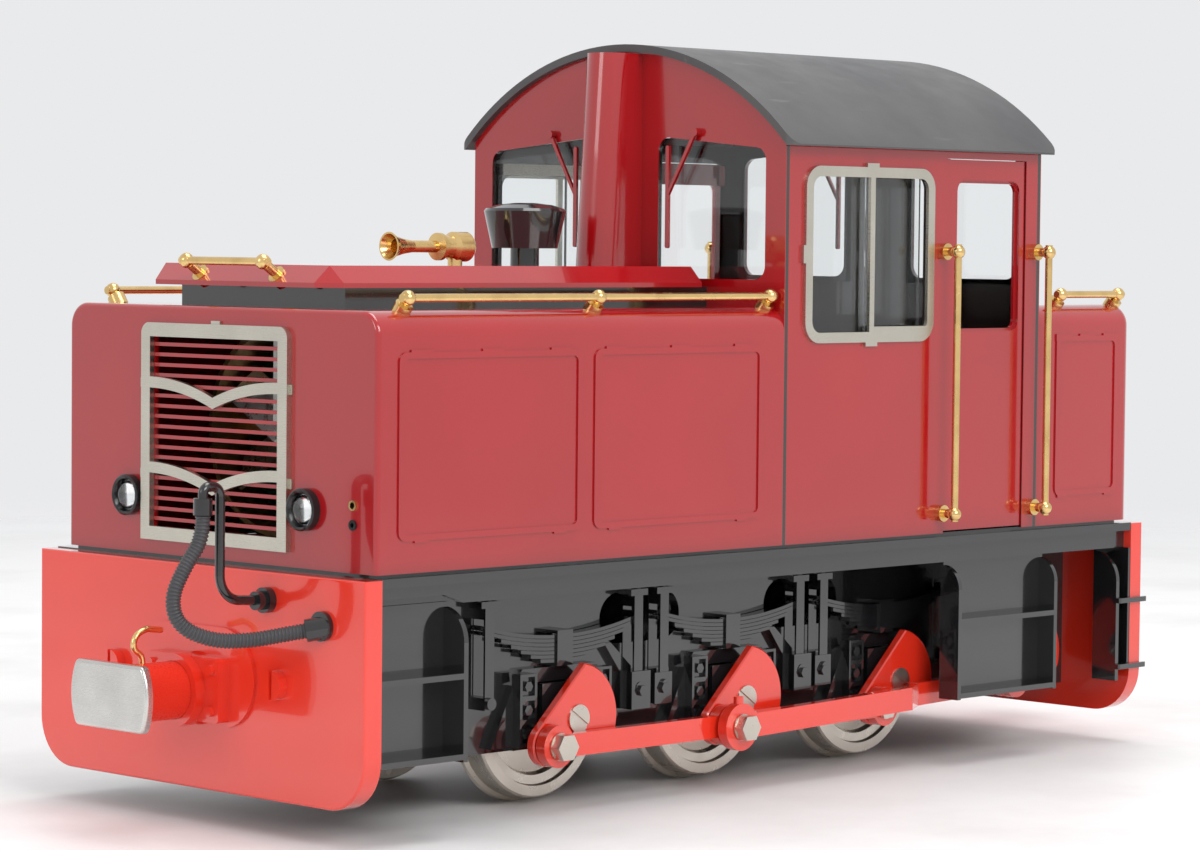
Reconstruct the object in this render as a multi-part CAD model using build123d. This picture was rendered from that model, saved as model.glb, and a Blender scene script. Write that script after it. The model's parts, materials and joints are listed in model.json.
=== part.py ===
from build123d import *
import math
import os

# A 45 mm gauge model of a small six-coupled works diesel with outside frames.
# Millimetres.  +X is forward (radiator end), +Y is the left side, +Z is up.
# The drawing below puts x = 0 at the bonnet's front face and z = 0 at the lowest
# point of the wheel flanges; save() shifts everything so that x = 0 is mid-length.

# ---- driving dimensions -------------------------------------------------------
BODY_HALF = 49.2            # half width of bonnet, bunker and cab
SKIN = 1.2                  # thickness of the body sheets
BODY_BOTTOM = 54.2
BONNET_TOP = 106.3
BONNET_REAR = -119.4
CAB_REAR = -209.3
BUNKER_REAR = -245.5
BEAM_HALF = 52.0            # half width of the buffer beams
BEAM_TOP = 53.5
BEAM_BOTTOM = 7.4
FRONT_BEAM_BACK = 0.9
FRONT_BEAM_FACE = 5.4
REAR_BEAM_BACK = -243.1
REAR_BEAM_FACE = -247.6
PLATE_BOTTOM = 51.8         # footplate
PLATE_TOP = 53.7
FRAME_IN = 29.0             # main frame plates
FRAME_OUT = 31.5
FRAME_BOTTOM = 13.0

FLANGE_R = 19.5
TREAD_R = 18.1
WHEEL_BACK = 20.5           # half of the 41 mm back to back distance
WHEEL_FACE = 27.2
WHEEL_BASE = 52.7
AXLE_2_X = -119.5
AXLE_X = (AXLE_2_X + WHEEL_BASE, AXLE_2_X, AXLE_2_X - WHEEL_BASE)
AXLE_Z = FLANGE_R
AXLE_R = 2.5
JACK_X = -220.6
JACK_Z = 22.3
THROW = 9.9
LEFT_PHASE = -30.0          # crank angle from +X towards +Z, seen from the left side
RIGHT_PHASE = 60.0          # quartered
CRANK_IN = 37.3
CRANK_OUT = 39.2
PIN_R = 2.0
RUN_GAP = 0.1               # running clearance of rod bushes
ROD_THICK = 2.5
ROD_INNER = 39.8            # inner face of the coupling rod layer
ROD_OUTER = 43.5            # inner face of the drive rod's outer layer

ROOF_R = 72.3
ROOF_TOP = 165.0
ROOF_HALF = 52.8
ROOF_THICK = 1.7
BUFFER_FACE = 28.0
BUFFER_Z = 28.1
MID_X = (FRONT_BEAM_FACE + REAR_BEAM_FACE) / 2

os.makedirs("parts", exist_ok=True)


# ---- helpers ------------------------------------------------------------------
def block(x0, x1, y0, y1, z0, z1):
    size = Box(abs(x1 - x0), abs(y1 - y0), abs(z1 - z0))
    return Pos((x0 + x1) / 2, (y0 + y1) / 2, (z0 + z1) / 2) * size


def rod_x(radius, x0, x1, y, z):
    return Pos((x0 + x1) / 2, y, z) * Rot(0, 90, 0) * Cylinder(radius, abs(x1 - x0))


def rod_y(radius, y0, y1, x, z):
    return Pos(x, (y0 + y1) / 2, z) * Rot(90, 0, 0) * Cylinder(radius, abs(y1 - y0))


def rod_z(radius, z0, z1, x, y):
    return Pos(x, y, (z0 + z1) / 2) * Cylinder(radius, abs(z1 - z0))


def rod_between(radius, start, end):
    line = Edge.make_line(start, end)
    return sweep(Plane(origin=start, z_dir=line % 0) * Circle(radius), path=line)


def hex_y(across, y0, y1, x, z):
    turn = Plane(origin=(x, y0, z), x_dir=(1, 0, 0), z_dir=(0, 1, 0))
    return extrude(turn * RegularPolygon(across / math.sqrt(3), 6), y1 - y0)


def plate_x(face, x0, x1):
    """Extrude a sketch drawn with (y, z) coordinates from x0 to x1."""
    return extrude(Plane(origin=(x0, 0, 0), x_dir=(0, 1, 0), z_dir=(1, 0, 0)) * face, x1 - x0)


def plate_y(face, y0, y1):
    """Extrude a sketch drawn with (x, z) coordinates from y0 to y1."""
    return extrude(Plane(origin=(0, y0, 0), x_dir=(1, 0, 0), z_dir=(0, -1, 0)) * face, y0 - y1)


def rect(a0, a1, b0, b1, radius=0):
    spot = Pos((a0 + a1) / 2, (b0 + b1) / 2)
    if radius:
        return spot * RectangleRounded(abs(a1 - a0), abs(b1 - b0), radius)
    return spot * Rectangle(abs(a1 - a0), abs(b1 - b0))


def polygon(*points):
    return make_face(Polyline(*points, close=True))


def spun_x(x, y, z, *profile):
    """Turn a profile of (x offset, radius) points about a line along X."""
    face = make_face(Polyline(*profile, close=True))
    return Pos(x, y, z) * revolve(face, Axis.X)


def spun_z(x, y, z, *profile):
    """Turn a profile of (radius, z offset) points about a line along Z."""
    face = Plane.XZ * make_face(Polyline(*profile, close=True))
    return Pos(x, y, z) * revolve(face, Axis.Z)


def mirrored(*pieces):
    """The pieces and their images on the right side."""
    return list(pieces) + [mirror(piece, about=Plane.XZ) for piece in pieces]


def to_rear(piece):
    """The same piece turned round to the other end."""
    return Pos(2 * MID_X, 0, 0) * Rot(0, 0, 180) * piece


def save(node, *pieces):
    solids = []
    for piece in pieces:
        solids.extend(piece.solids())
    moved = [Pos(-MID_X, 0, 0) * solid for solid in solids]
    export_step(Compound(moved), f"parts/{node}.step")


# ---- frames -------------------------------------------------------------------
def main_frame():
    outline = rect(REAR_BEAM_BACK, FRONT_BEAM_BACK, FRAME_BOTTOM, PLATE_BOTTOM)
    for x in AXLE_X:
        outline -= rect(x - 8, x + 8, FRAME_BOTTOM - 1, AXLE_Z + 8)
    for x in (AXLE_X[0] - WHEEL_BASE / 2, AXLE_X[1] - WHEEL_BASE / 2):
        outline -= Pos(x, 39) * SlotCenterToCenter(14, 11)
    plate = plate_y(outline, FRAME_IN, FRAME_OUT)
    return plate - rod_y(AXLE_R + RUN_GAP, FRAME_IN - 1, FRAME_OUT + 1, JACK_X, JACK_Z)


def stretchers():
    plates = []
    for x in (-30.0, -93.2, -145.9, -203.0):
        plates.append(block(x - 1.5, x + 1.5, -FRAME_IN, FRAME_IN, 22, PLATE_BOTTOM))
    return plates


def footplate():
    edge = BEAM_HALF - 0.1
    plate = block(REAR_BEAM_BACK, FRONT_BEAM_BACK, -edge, edge, PLATE_BOTTOM, PLATE_TOP)
    front, rear = -1.2, REAR_BEAM_BACK + 1.0
    height = (PLATE_TOP, BODY_BOTTOM)
    sill = [block(front - 3.0, front, -47.6, 47.6, *height),
            block(rear, rear + 3.0, -47.6, 47.6, *height)]
    sill += mirrored(block(rear + 3.0, front - 3.0, 44.6, 47.6, *height))
    valance = polygon((REAR_BEAM_BACK, PLATE_BOTTOM), (FRONT_BEAM_BACK, PLATE_BOTTOM),
                      (FRONT_BEAM_BACK, 49.4), (-18, 49.4), (-23, 47.6), (REAR_BEAM_BACK, 47.6))
    return [plate] + sill + mirrored(plate_y(valance, 48.0, 49.8))


def buffer_beam():
    corner = 10.5
    face = rect(-BEAM_HALF, BEAM_HALF, BEAM_BOTTOM, BEAM_TOP + corner, corner)
    face &= rect(-60, 60, 0, BEAM_TOP)
    beam = plate_x(face, FRONT_BEAM_BACK, FRONT_BEAM_FACE)
    return fillet(beam.faces().sort_by(Axis.X)[-1].edges(), 0.5)


def step_box(gussets, panel, x0, x1, treads, top=47.6, bottom=15.6):
    """A back panel with upright arched gussets and level treads, left side."""
    outer = 51.9
    pieces = plate_y(rect(x0, x1, bottom, top), panel, panel + 0.8)
    reach = outer - panel
    arch = rect(panel + 0.4, outer, bottom, top - 1.0 - reach)
    arch += Pos(panel, top - 1.0 - reach) * Circle(reach) & rect(panel + 0.4, outer, bottom, top)
    for x in gussets:
        pieces += plate_x(arch, x - 0.6, x + 0.6)
    for z in treads:
        pieces += block(x0, x1, panel + 0.4, outer, z - 0.6, z + 0.6)
    return pieces


def step_boxes():
    front = step_box((-22.0,), 45.0, -22.6, FRONT_BEAM_BACK, (33.0, 16.7))
    cab = step_box((-178.4, -214.0), 46.4, -214.6, -177.8, (33.7, 16.5))
    rear = step_box((-238.3,), 45.0, REAR_BEAM_BACK, -237.7, (35.0, 19.0))
    rear += block(REAR_BEAM_BACK, REAR_BEAM_BACK + 0.8, 45.0, 51.9, 18.4, 47.6)
    for z in (35.0, 19.0):
        nosing = block(REAR_BEAM_FACE - 0.9, -237.7, 51.9, 53.1, z - 0.6, z + 0.6)
        nosing = fillet(nosing.edges().filter_by(Axis.Z).sort_by(Axis.Y)[-2:], 0.5)
        rear += nosing - block(-260, REAR_BEAM_BACK + 0.1, 40, BEAM_HALF + 0.1, z - 1, z + 1)
    return mirrored(front, cab, rear)


# ---- suspension ---------------------------------------------------------------
LEAVES = 7
LEAF_THICK = 0.75
LEAF_PITCH = 0.85
SPRING_HALF = 24.2
HANGER_REACH = 22.3
SPRING_TOP = 37.0
SPRING_R = 87.8             # radius of the top face of the top leaf
SPRING_IN = 31.9
SPRING_OUT = 34.6


def leaf(x, index):
    half = SPRING_HALF - 2.9 * index
    top = SPRING_R + LEAF_PITCH * index
    low = top + LEAF_THICK
    centre_z = SPRING_TOP + SPRING_R

    def at(radius, side):
        return (x + side * half, centre_z - math.sqrt(radius ** 2 - half ** 2))

    upper = ThreePointArc(at(top, -1), (x, centre_z - top), at(top, 1))
    lower = ThreePointArc(at(low, 1), (x, centre_z - low), at(low, -1))
    ends = [Line(at(top, 1), at(low, 1)), Line(at(low, -1), at(top, -1))]
    return plate_y(make_face([upper, lower] + ends), SPRING_IN, SPRING_OUT)


def leaf_spring(x):
    pack_bottom = SPRING_TOP - LEAVES * LEAF_PITCH
    band = block(x - 2.3, x + 2.3, FRAME_OUT, SPRING_OUT + 0.5, pack_bottom - 0.6, 38.0)
    band -= block(x - 4, x + 4, SPRING_IN - 0.1, SPRING_OUT + 0.1, pack_bottom, 37.3)
    return [leaf(x, index) for index in range(LEAVES)] + [band]


def spring_hanger(x):
    """A forked link that holds one end of a spring, with its bracket and nuts."""
    fork = block(x - 1.3, x + 1.3, FRAME_OUT, SPRING_OUT + 0.6, 22.6, 44.0)
    fork -= block(x - 2, x + 2, SPRING_IN - 0.2, SPRING_OUT + 0.1, 25.2, 41.6)
    bracket = block(x - 2.6, x + 2.6, FRAME_OUT, SPRING_OUT + 0.8, 44.0, 45.4)
    nuts = [rod_z(0.9, 45.4, 46.8, x + dx, 33.2) for dx in (-1.5, 1.5)]
    bolt = rod_y(1.3, SPRING_OUT + 0.6, SPRING_OUT + 1.4, x, 24.0)
    return [fork, bracket, bolt] + nuts


def axlebox(x):
    box = block(x - 7.0, x + 7.0, 28.6, 35.4, 13.2, AXLE_Z + 7.5)
    return box - rod_y(AXLE_R + RUN_GAP, 28, 36, x, AXLE_Z)


def axlebox_guide(x):
    """The horn casting around an axlebox, with ribbed bolted columns."""
    outer = polygon((x - 20, 14), (x - 13.7, 14), (x - 13.7, 13.2), (x + 13.7, 13.2),
                    (x + 13.7, 14), (x + 20, 14), (x + 13.7, 27), (x + 11, 30.2),
                    (x - 11, 30.2), (x - 13.7, 27))
    outer -= rect(x - 7.2, x + 7.2, 13, AXLE_Z + 7.7)
    casting = plate_y(outer, FRAME_OUT, 33.4)
    for side in (-1, 1):
        mid = x + side * 11.2
        column = block(mid - 2.5, mid + 2.5, 33.0, 35.6, 14.2, 29.4)
        for z in (16.8, 21.8, 26.8):
            column -= block(mid - 1.8, mid + 1.8, 34.6, 36, z - 2.0, z + 2.0)
        casting += column
    return casting


def guide_bolts(x):
    bolts = []
    for side in (-1, 1):
        for z in (16.8, 21.8, 26.8):
            bolts.append(hex_y(2.0, 34.6, 35.7, x + side * 11.2, z))
    return bolts


def link_bracket(x):
    """A bolted bracket with a sloping stay, fixed to the frame between wheels."""
    base = block(x - 7.6, x + 7.6, FRAME_OUT, 33.2, 19.5, 27.5)
    lugs = block(x - 6.4, x - 1.0, 33.2, 35.4, 20.0, 26.8)
    lugs += block(x + 0.8, x + 6.6, 33.2, 35.8, 19.4, 27.6)
    stay = plate_y(polygon((x + 7.6, 27.5), (x + 3.0, 27.5), (x + 10.6, 34.0), (x + 12.6, 34.0)),
                   FRAME_OUT, 33.2)
    bolts = [hex_y(2.2, 35.4, 36.2, x - 3.7, 23.4), hex_y(2.2, 35.8, 36.6, x + 3.7, 23.4)]
    return [base + lugs + stay] + bolts


# ---- wheels, cranks and rods --------------------------------------------------
def wheel():
    """One wheel on the left side of an axle at the origin."""
    y = WHEEL_FACE
    profile = [(AXLE_R, WHEEL_BACK - 0.2), (7.0, WHEEL_BACK - 0.2), (7.6, WHEEL_BACK),
               (FLANGE_R - 0.5, WHEEL_BACK), (FLANGE_R, WHEEL_BACK + 0.5),
               (FLANGE_R - 0.3, WHEEL_BACK + 1.1), (TREAD_R + 0.25, WHEEL_BACK + 1.6),
               (TREAD_R, y - 0.4), (TREAD_R - 0.4, y), (15.6, y), (15.3, y - 0.9),
               (13.4, y - 1.1), (12.8, y - 2.2), (7.0, y - 1.2), (6.6, y - 0.2), (AXLE_R, y - 0.2)]
    return revolve(Plane.XY * make_face(Polyline(*profile, close=True)), Axis.Y)


def polar(radius, degrees):
    return (radius * math.cos(math.radians(degrees)), radius * math.sin(math.radians(degrees)))


def crank_outline(phase):
    """Balance arc opposite the pin, with straight flanks down to a round pin end."""
    arc_r = 11.8
    end_r = 4.6
    spread = 49.5
    pin = polar(THROW, phase)
    back = phase + 180
    first = polar(arc_r, back - spread)
    last = polar(arc_r, back + spread)

    def touch(point, side):
        dx, dy = point[0] - pin[0], point[1] - pin[1]
        reach = math.hypot(dx, dy)
        lean = side * math.degrees(math.acos(end_r / reach))
        spot = polar(end_r, math.degrees(math.atan2(dy, dx)) + lean)
        return (pin[0] + spot[0], pin[1] + spot[1])

    near_last = touch(last, 1)
    near_first = touch(first, -1)
    tip = polar(THROW + end_r, phase)
    return make_face([ThreePointArc(first, polar(arc_r, back), last), Line(last, near_last),
                      ThreePointArc(near_last, tip, near_first), Line(near_first, first)])


def crank(phase, side):
    pin = polar(THROW, phase)
    plate = plate_y(crank_outline(phase), CRANK_IN, CRANK_OUT)
    plate = chamfer(plate.faces().sort_by(Axis.Y)[-1].edges(), 0.3)
    plate -= rod_y(AXLE_R, 36, 40, 0, 0)
    plate -= rod_y(PIN_R, 36, 40, pin[0], pin[1])
    return plate if side > 0 else mirror(plate, about=Plane.XZ)


def axle_screw(side):
    screw = rod_y(3.0, CRANK_OUT, CRANK_OUT + 0.45, 0, 0)
    slot = Pos(0, CRANK_OUT + 0.4, 0) * Rot(0, -35, 0) * Box(7, 0.5, 0.8)
    screw -= slot
    return screw if side > 0 else mirror(screw, about=Plane.XZ)


def crank_pin(phase, side, collar_end, head_from, head_thick, across=5.2):
    """A pin from the crank's inner face out, with a collar, a washer and a hexagon head."""
    pin = polar(THROW, phase)
    piece = rod_y(PIN_R, CRANK_IN, head_from, pin[0], pin[1])
    piece += rod_y(3.2, CRANK_OUT, collar_end, pin[0], pin[1])
    piece += rod_y(across / 2 + 0.3, head_from, head_from + 0.3, pin[0], pin[1])
    piece += hex_y(across, head_from + 0.3, head_from + head_thick, pin[0], pin[1])
    return piece if side > 0 else mirror(piece, about=Plane.XZ)


def shaft(node, x, z, pin_spec, fitted):
    """An axle with what is fitted on it, and its cranks quartered at 90 degrees."""
    core = [rod_y(AXLE_R, -CRANK_OUT, CRANK_OUT, 0, 0)] + fitted
    cranks = []
    for phase, side in ((LEFT_PHASE, 1), (RIGHT_PHASE, -1)):
        core.append(axle_screw(side))
        core.append(crank_pin(phase, side, *pin_spec))
        cranks.append(crank(phase, side))
    save(node, *[Pos(x, 0, z) * piece for piece in core])
    save(f"{node}_cranks", *[Pos(x, 0, z) * piece for piece in cranks])


SIDE_GAP = 0.12             # side play of a rod on its pin
COLLAR = ROD_INNER - SIDE_GAP
SINGLE_PIN = (COLLAR, ROD_INNER + ROD_THICK + SIDE_GAP, 2.7)
FLUSH_PIN = (COLLAR, ROD_INNER + ROD_THICK + SIDE_GAP, 0.9)
DOUBLE_PIN = (COLLAR, ROD_OUTER + ROD_THICK + SIDE_GAP, 2.7)


def pin_at(shaft_x, shaft_z, phase):
    offset = polar(THROW, phase)
    return (shaft_x + offset[0], shaft_z + offset[1])


def bar(a, b, depth, y0, y1):
    """A flat bar between two points of the (x, z) plane."""
    length = math.hypot(b[0] - a[0], b[1] - a[1])
    slope = math.degrees(math.atan2(b[1] - a[1], b[0] - a[0]))
    mid = Pos((a[0] + b[0]) / 2, (a[1] + b[1]) / 2)
    return plate_y(mid * Rot(0, 0, slope) * Rectangle(length, depth), y0, y1)


def coupling_rod(phase, side):
    """The straight rod on all three wheel cranks."""
    pins = [pin_at(x, AXLE_Z, phase) for x in AXLE_X]
    y0, y1 = ROD_INNER, ROD_INNER + ROD_THICK
    rod = bar(pins[0], pins[2], 4.8, y0, y1)
    for pin in pins:
        rod += rod_y(4.5, y0, y1, *pin)
    for pin in pins:
        rod -= rod_y(PIN_R + RUN_GAP, y0 - 1, y1 + 1, pin[0], pin[1])
    return rod if side > 0 else mirror(rod, about=Plane.XZ)


def drive_rod(phase, side):
    """From the middle wheel past the rear one, then set in and on to the jackshaft."""
    start = pin_at(AXLE_X[1], AXLE_Z, phase)
    end = pin_at(JACK_X, JACK_Z, phase)
    slope = (end[1] - start[1]) / (end[0] - start[0])
    rear_pin_x = pin_at(AXLE_X[2], AXLE_Z, phase)[0]
    set_x0 = rear_pin_x - 5.2
    set_x1 = set_x0 - 6.5

    def on_line(x):
        return (x, start[1] + slope * (x - start[0]))

    y0, y1 = ROD_OUTER, ROD_OUTER + ROD_THICK
    in0, in1 = ROD_INNER, ROD_INNER + ROD_THICK
    depth = 5.2
    rod = bar(start, on_line(set_x0), depth, y0, y1) + rod_y(5.2, y0, y1, *start)
    rod += bar(on_line(set_x1), end, depth, in0, in1) + rod_y(4.6, in0, in1, *end)
    joggle = make_face(Polyline((set_x0 + 0.01, y0), (set_x0 + 0.01, y1), (set_x1 - 0.01, in1),
                                (set_x1 - 0.01, in0), close=True))
    joggle = extrude(joggle, depth)
    low = on_line((set_x0 + set_x1) / 2)[1] - depth / 2
    rod += Pos(0, 0, low) * joggle
    for pin in (start, end):
        rod -= rod_y(PIN_R + RUN_GAP, in0 - 1, y1 + 2, pin[0], pin[1])
    cup = rod_z(1.1, start[1] + 5.0, start[1] + 6.6, start[0], (y0 + y1) / 2)
    rod += cup
    return rod if side > 0 else mirror(rod, about=Plane.XZ)


# ---- drive train --------------------------------------------------------------
GEAR_MODULE = 0.6
GEAR_TEETH = 36
PINION_TEETH = 12
GEAR_IN = 13.6
GEAR_OUT = 17.6
MOTOR_ANGLE = 130.0         # of the motor's shaft about the axle, from +X towards +Z


def gear_face(teeth, phase, backlash=0.16):
    """Straight-sided teeth with generous backlash, phase being a tooth's angle."""
    pitch = GEAR_MODULE * teeth / 2
    tip = pitch + 0.8 * GEAR_MODULE
    root = pitch - 1.15 * GEAR_MODULE
    step = 360.0 / teeth

    def half(radius, width):
        return math.degrees(width / 2 / radius)

    wide = GEAR_MODULE * math.pi / 2 - backlash
    points = []
    for tooth in range(teeth):
        mid = phase + tooth * step
        at_root = half(root, wide * 1.35)
        at_tip = half(tip, wide * 0.5)
        points += [polar(root, mid - at_root), polar(tip, mid - at_tip),
                   polar(tip, mid + at_tip), polar(root, mid + at_root)]
    return polygon(*points)


def axle_gear():
    gear = plate_y(gear_face(GEAR_TEETH, MOTOR_ANGLE), GEAR_IN, GEAR_OUT)
    return gear - rod_y(AXLE_R, GEAR_IN - 1, GEAR_OUT + 1, 0, 0)


def motor_place():
    reach = GEAR_MODULE * (GEAR_TEETH + PINION_TEETH) / 2
    offset = polar(reach, MOTOR_ANGLE)
    return (AXLE_2_X + offset[0], AXLE_Z + offset[1])


def drive_train():
    x, z = motor_place()
    shaft_r = 1.2
    can = rod_y(10.0, -17.5, 10.6, x, z) + rod_y(3.5, 10.6, 11.6, x, z)
    can -= rod_y(shaft_r + 0.08, -6, 12, x, z)
    save("motor", can)
    half_step = 180.0 / PINION_TEETH
    pinion = plate_y(gear_face(PINION_TEETH, MOTOR_ANGLE + 180 + half_step), GEAR_IN, GEAR_OUT)
    save("motor_pinion", Pos(x, 0, z) * pinion + rod_y(shaft_r, -5.5, GEAR_OUT + 0.6, x, z))
    plate = block(x - 11, x + 11, 10.7, 12.4, AXLE_Z + 5.0, PLATE_BOTTOM)
    return [plate - rod_y(3.6, 10, 13, x, z)]


# ---- bodywork -----------------------------------------------------------------
def body_shell(x0, x1, front, corner):
    """A folded shell, open below and at the cab; front is its closed end."""
    inner0 = x0 if front else x0 + SKIN
    inner1 = x1 - SKIN if front else x1
    outer = block(x0, x1, -BODY_HALF, BODY_HALF, BODY_BOTTOM, BONNET_TOP)
    top = outer.edges().filter_by(Axis.X).group_by(Axis.Z)[-1]
    outer = fillet(top, corner)
    end = outer.faces().sort_by(Axis.X)[-1 if front else 0]
    rim = [edge for edge in end.edges() if edge.center().Z > BODY_BOTTOM + 0.1]
    outer = fillet(rim, 1.0 if front else 2.6)
    cavity = block(inner0, inner1, -BODY_HALF + SKIN, BODY_HALF - SKIN,
                   BODY_BOTTOM - 1, BONNET_TOP - SKIN)
    top = cavity.edges().filter_by(Axis.X).group_by(Axis.Z)[-1]
    return outer, outer - fillet(top, corner - SKIN + 0.2)


def moulding(x0, x1, z0, z1):
    """A raised strip around a side door panel, with its hinges and catches."""
    strip = rect(x0, x1, z0, z1, 2.0) - rect(x0 + 1.3, x1 - 1.3, z0 + 1.3, z1 - 1.3, 1.2)
    for part in (0.12, 0.5, 0.88):
        mid = x0 + (x1 - x0) * part
        strip += rect(mid - 3.0, mid + 3.0, z1 - 1.3, z1 + 0.5)
    for part in (0.12, 0.88):
        mid = x0 + (x1 - x0) * part
        strip += rect(mid - 1.8, mid + 1.8, z0 - 0.4, z0 + 1.3)
    return plate_y(strip, BODY_HALF, BODY_HALF + 0.35)


LAMP_Y = 28.1
LAMP_Z = 66.1
SOCKET_Y = 42.3
SOCKET_Z = (67.7, 63.8)
GRILLE_HALF = 23.3
GRILLE_Z = (57.2, 102.6)
GRILLE_IN = 20.4
GRILLE_IN_Z = (60.0, 99.7)
FRAME_PROUD = 1.2


def bonnet():
    outer, shell = body_shell(BONNET_REAR, 0.0, True, 5.0)
    shell -= block(-3, 2, -GRILLE_IN, GRILLE_IN, *GRILLE_IN_Z)
    for side in (-1, 1):
        shell -= rod_x(3.4, -3, 2, side * LAMP_Y, LAMP_Z)
    for z in SOCKET_Z:
        shell -= rod_x(1.05, -3, 2, SOCKET_Y, z)
    strips = [moulding(-56.8, -5.5, 60.6, 98.1), moulding(-112.5, -60.5, 60.6, 98.1)]
    save("bonnet_shell", shell, *mirrored(*strips))
    return outer


def bunker():
    outer, shell = body_shell(BUNKER_REAR, CAB_REAR, False, 5.0)
    save("bunker_shell", shell, *mirrored(moulding(-240.0, -216.0, 61.0, 99.0)))
    return outer


def wing_bar(side_top, depth):
    """A gull-wing bar: each half is an arc that is level where it meets the frame."""
    radius = 57.0

    def height(y, top):
        return top - (radius - math.sqrt(radius ** 2 - (GRILLE_IN - abs(y)) ** 2))

    def arc(y0, y1, top):
        mid = (y0 + y1) / 2
        return ThreePointArc((y0, height(y0, top)), (mid, height(mid, top)), (y1, height(y1, top)))

    low = side_top - depth
    g = GRILLE_IN
    return make_face([arc(-g, 0, side_top), arc(0, g, side_top), Line((g, side_top), (g, low)),
                      arc(g, 0, low), arc(0, -g, low), Line((-g, low), (-g, side_top))])


def grille():
    ring = rect(-GRILLE_HALF, GRILLE_HALF, GRILLE_Z[0] - 4, GRILLE_Z[1], 2.4)
    ring &= rect(-30, 30, *GRILLE_Z)
    ring -= rect(-GRILLE_IN, GRILLE_IN, *GRILLE_IN_Z)
    ring += wing_bar(91.3, 2.3)
    ring += wing_bar(73.5, 2.3)
    tabs = rect(-1.4, 1.4, GRILLE_Z[1] - 1, GRILLE_Z[1] + 0.7)
    for side in (-1, 1):
        for z in (90.0, 71.0):
            edge = side * GRILLE_HALF
            tabs += rect(edge - 1, edge + 0.8, z - 1.0, z + 1.0)
    save("grille_frame", plate_x(ring, 0.0, FRAME_PROUD) + plate_x(tabs, 0.0, 0.5))
    count = 18
    pitch = (GRILLE_IN_Z[1] - GRILLE_IN_Z[0]) / (count + 0.5)
    slats = []
    for index in range(count):
        z = GRILLE_IN_Z[0] + pitch * (index + 0.75)
        slats.append(block(-SKIN, -0.1, -GRILLE_IN, GRILLE_IN, z - 0.38, z + 0.38))
    save("grille_slats", *slats)


FAN_X = -21.0
FAN_Z = 80.0
FAN_R = 19.4
RING_R = 22.0


def radiator_fan():
    hub = rod_x(3.2, FAN_X - 2.6, FAN_X + 2.6, 0, FAN_Z)
    for index in range(6):
        blade = Pos(0, 0, 10.8) * Rot(0, 0, 32) * Box(0.8, 9.0, 18.0)
        blade &= rod_x(FAN_R, -4, 4, 0, 0)
        hub += Pos(FAN_X, 0, FAN_Z) * Rot(60 * index, 0, 0) * blade
    shaft = rod_x(1.0, FAN_X - 9.0, FAN_X + 3.0, 0, FAN_Z)
    save("fan", hub + shaft)
    ring = rod_x(RING_R, FAN_X - 5, FAN_X + 5, 0, FAN_Z)
    ring -= rod_x(RING_R - 1.2, FAN_X - 6, FAN_X + 6, 0, FAN_Z)
    arm_x = FAN_X - 5.0
    carrier = rod_x(4.2, arm_x - 6.0, arm_x - 0.6, 0, FAN_Z)
    carrier += block(arm_x - 2.2, arm_x - 0.6, -1.6, 1.6, BODY_BOTTOM, FAN_Z)
    carrier += block(arm_x - 2.2, arm_x - 0.6, -RING_R, RING_R, FAN_Z - 1.6, FAN_Z + 1.6)
    carrier += block(arm_x - 2.2, arm_x + 1.0, RING_R - 1.2, RING_R, FAN_Z - 1.6, FAN_Z + 1.6)
    carrier += block(arm_x - 2.2, arm_x + 1.0, -RING_R, 1.2 - RING_R, FAN_Z - 1.6, FAN_Z + 1.6)
    carrier -= rod_x(1.08, arm_x - 4.6, arm_x, 0, FAN_Z)
    save("fan_shroud", ring + carrier)


def front_lamps():
    bezels = []
    lenses = []
    for side in (-1, 1):
        bezels.append(spun_x(0, side * LAMP_Y, LAMP_Z, (-1.2, 2.9), (0.45, 2.9), (0.45, 3.3), (1.7, 3.5),
                             (2.0, 3.9), (1.7, 4.3), (0, 4.3), (0, 3.4), (-1.2, 3.4)))
        edge = [Line((0.45, 0), (2.6, 0)), ThreePointArc((2.6, 0), (1.9, 2.1), (0.45, 3.2)),
                Line((0.45, 3.2), (0.45, 0))]
        dome = revolve(make_face(edge), Axis.X)
        lenses.append(Pos(0, side * LAMP_Y, LAMP_Z) * dome)
    for z, bore in zip(SOCKET_Z, (0.65, 0.5)):
        ring = rod_x(1.05, -4.0, 0.4, SOCKET_Y, z) - rod_x(bore, -3.6, 1, SOCKET_Y, z)
        bezels.append(ring)
    save("lamp_bezels", *bezels)
    save("lamp_lenses", *lenses)


DECK_Z = (110.5, 115.0)
DECK_REAR = -114.0


def tapered(x0, x1, half, bevel, z0, z1):
    low = Pos((x0 + x1) / 2, 0, z0) * Rectangle(x1 - x0, 2 * half)
    high = Pos((x0 + x1 - bevel) / 2, 0, z1) * Rectangle(x1 - x0 - bevel, 2 * (half - bevel))
    return loft([low, high])


DECK_FRONT = -4.2
DECK_HALF = 29.5
DECK_RIM = 1.0
DECK_BEVEL = 3.4
DECK_CORNER = 4.2           # how much of each front corner is cut off at the rim


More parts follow.
